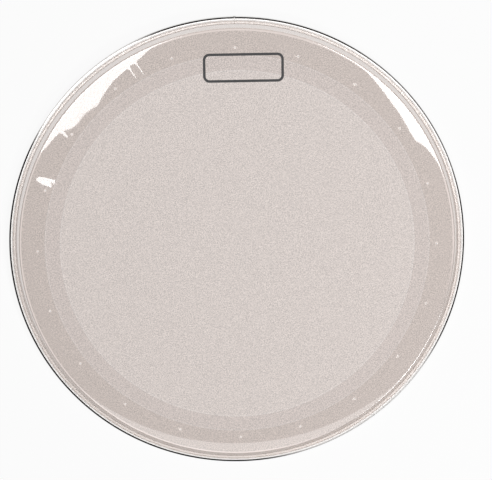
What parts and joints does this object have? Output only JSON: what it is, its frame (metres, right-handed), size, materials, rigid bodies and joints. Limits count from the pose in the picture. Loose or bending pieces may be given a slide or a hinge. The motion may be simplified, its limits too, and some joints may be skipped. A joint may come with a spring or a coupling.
{
  "type": "drum head",
  "caption": "Round bass drum head: frosted film with a formed collar, potted in a rolled channel hoop, with a vented damping ring bonded under its edge.",
  "frame": {"origin": "middle of the plane that the hoop rests on, on the head's axis", "axes": "+Z along the head's axis, out of the playing side; +Y towards the hoop's welded seam"},
  "size_m": [0.578, 0.5787, 0.019],
  "materials": {
    "hoop_aluminium": "satin",
    "weld_aluminium": "matte",
    "frosted_film": "satin",
    "potting_resin": "gloss",
    "clear_film": "gloss",
    "bonding_tape": "matte"
  },
  "bodies": {
    "root": {"hoop_channel": "hoop_aluminium", "seam_weld": "weld_aluminium", "head_film": "frosted_film", "channel_resin": "potting_resin", "damping_ring": "clear_film", "ring_tape": "bonding_tape"}
  },
  "joints": []
}
